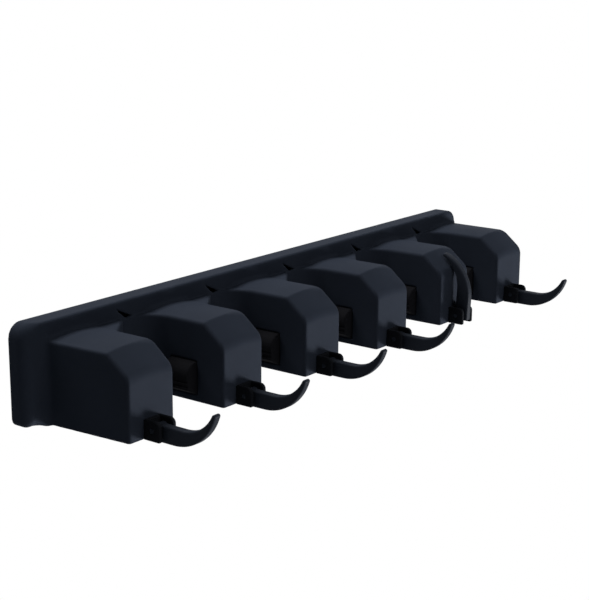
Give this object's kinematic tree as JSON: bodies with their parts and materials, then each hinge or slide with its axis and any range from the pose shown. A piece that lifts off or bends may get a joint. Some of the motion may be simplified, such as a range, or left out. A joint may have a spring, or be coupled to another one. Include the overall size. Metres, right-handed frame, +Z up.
{
  "type": "wall mop holder rack",
  "caption": "Wall rack with open slots that grip mop and broom handles between a self-locking rubber roller and a pad, and folding hooks on its finger fronts.",
  "frame": {"origin": "middle of the four wall screw holes, on the wall plane", "axes": "+X along the rack to the viewer's right, +Y into the wall, +Z up; the fingers point to -Y"},
  "size_m": [0.399, 0.1074, 0.0542],
  "materials": {
    "shell_plastic": "satin",
    "panel_plastic": "fine grain",
    "hook_plastic": "satin",
    "core_plastic": "satin",
    "rubber": "soft matt",
    "steel": "drawn wire"
  },
  "bodies": {
    "frame": {"front_shell": "shell_plastic", "back_panel": "panel_plastic", "panel_screws": "steel", "roller_cage_1": "panel_plastic", "roller_cage_2": "panel_plastic", "roller_cage_3": "panel_plastic", "roller_cage_4": "panel_plastic", "roller_cage_5": "panel_plastic", "jaw_pad_1": "rubber", "jaw_pad_2": "rubber", "jaw_pad_3": "rubber", "jaw_pad_4": "rubber", "jaw_pad_5": "rubber", "hook_bracket_1": "panel_plastic", "hook_bracket_2": "panel_plastic", "hook_bracket_3": "panel_plastic", "hook_bracket_4": "panel_plastic", "hook_bracket_5": "panel_plastic", "hook_bracket_6": "panel_plastic", "hook_pin_1": "hook_plastic", "hook_pin_2": "hook_plastic", "hook_pin_3": "hook_plastic", "hook_pin_4": "hook_plastic", "hook_pin_5": "hook_plastic", "hook_pin_6": "hook_plastic"},
    "hook_1": {"hook_1": "hook_plastic"},
    "hook_2": {"hook_2": "hook_plastic"},
    "hook_3": {"hook_3": "hook_plastic"},
    "hook_4": {"hook_4": "hook_plastic"},
    "hook_5": {"hook_5": "hook_plastic"},
    "hook_6": {"hook_6": "hook_plastic"},
    "axle_1": {"roller_axle_1": "steel"},
    "roller_1": {"roller_core_1": "core_plastic", "roller_tyre_1": "rubber"},
    "axle_2": {"roller_axle_2": "steel"},
    "roller_2": {"roller_core_2": "core_plastic", "roller_tyre_2": "rubber"},
    "axle_3": {"roller_axle_3": "steel"},
    "roller_3": {"roller_core_3": "core_plastic", "roller_tyre_3": "rubber"},
    "axle_4": {"roller_axle_4": "steel"},
    "roller_4": {"roller_core_4": "core_plastic", "roller_tyre_4": "rubber"},
    "axle_5": {"roller_axle_5": "steel"},
    "roller_5": {"roller_core_5": "core_plastic", "roller_tyre_5": "rubber"}
  },
  "joints": [
    {"name": "hook_1_fold", "type": "hinge", "parent": "frame", "child": "hook_1", "pos_m": [-0.175, -0.07, -0.0172], "axis": [-1, 0, 0], "range_deg": [0, 87]},
    {"name": "hook_2_fold", "type": "hinge", "parent": "frame", "child": "hook_2", "pos_m": [-0.105, -0.07, -0.0172], "axis": [-1, 0, 0], "range_deg": [0, 87]},
    {"name": "hook_3_fold", "type": "hinge", "parent": "frame", "child": "hook_3", "pos_m": [-0.035, -0.07, -0.0172], "axis": [-1, 0, 0], "range_deg": [0, 87]},
    {"name": "hook_4_fold", "type": "hinge", "parent": "frame", "child": "hook_4", "pos_m": [0.035, -0.07, -0.0172], "axis": [-1, 0, 0], "range_deg": [0, 87]},
    {"name": "hook_5_fold", "type": "hinge", "parent": "frame", "child": "hook_5", "pos_m": [0.105, -0.07, -0.0172], "axis": [-1, 0, 0], "range_deg": [-87, 0]},
    {"name": "hook_6_fold", "type": "hinge", "parent": "frame", "child": "hook_6", "pos_m": [0.175, -0.07, -0.0172], "axis": [-1, 0, 0], "range_deg": [0, 87]},
    {"name": "roller_1_slide", "type": "slide", "parent": "frame", "child": "axle_1", "axis": [-0.6428, 0, 0.766], "range_m": [0, 0.014]},
    {"name": "roller_1_spin", "type": "hinge", "parent": "axle_1", "child": "roller_1", "pos_m": [-0.1636, -0.04214, -0.0052], "axis": [0, 1, 0], "continuous": true},
    {"name": "roller_2_slide", "type": "slide", "parent": "frame", "child": "axle_2", "axis": [-0.6428, 0, 0.766], "range_m": [0, 0.014]},
    {"name": "roller_2_spin", "type": "hinge", "parent": "axle_2", "child": "roller_2", "pos_m": [-0.0936, -0.04214, -0.0052], "axis": [0, 1, 0], "continuous": true},
    {"name": "roller_3_slide", "type": "slide", "parent": "frame", "child": "axle_3", "axis": [-0.6428, 0, 0.766], "range_m": [0, 0.014]},
    {"name": "roller_3_spin", "type": "hinge", "parent": "axle_3", "child": "roller_3", "pos_m": [-0.0236, -0.04214, -0.0052], "axis": [0, 1, 0], "continuous": true},
    {"name": "roller_4_slide", "type": "slide", "parent": "frame", "child": "axle_4", "axis": [-0.6428, 0, 0.766], "range_m": [0, 0.014]},
    {"name": "roller_4_spin", "type": "hinge", "parent": "axle_4", "child": "roller_4", "pos_m": [0.0464, -0.04214, -0.0052], "axis": [0, 1, 0], "continuous": true},
    {"name": "roller_5_slide", "type": "slide", "parent": "frame", "child": "axle_5", "axis": [-0.6428, 0, 0.766], "range_m": [0, 0.014]},
    {"name": "roller_5_spin", "type": "hinge", "parent": "axle_5", "child": "roller_5", "pos_m": [0.1164, -0.04214, -0.0052], "axis": [0, 1, 0], "continuous": true}
  ]
}
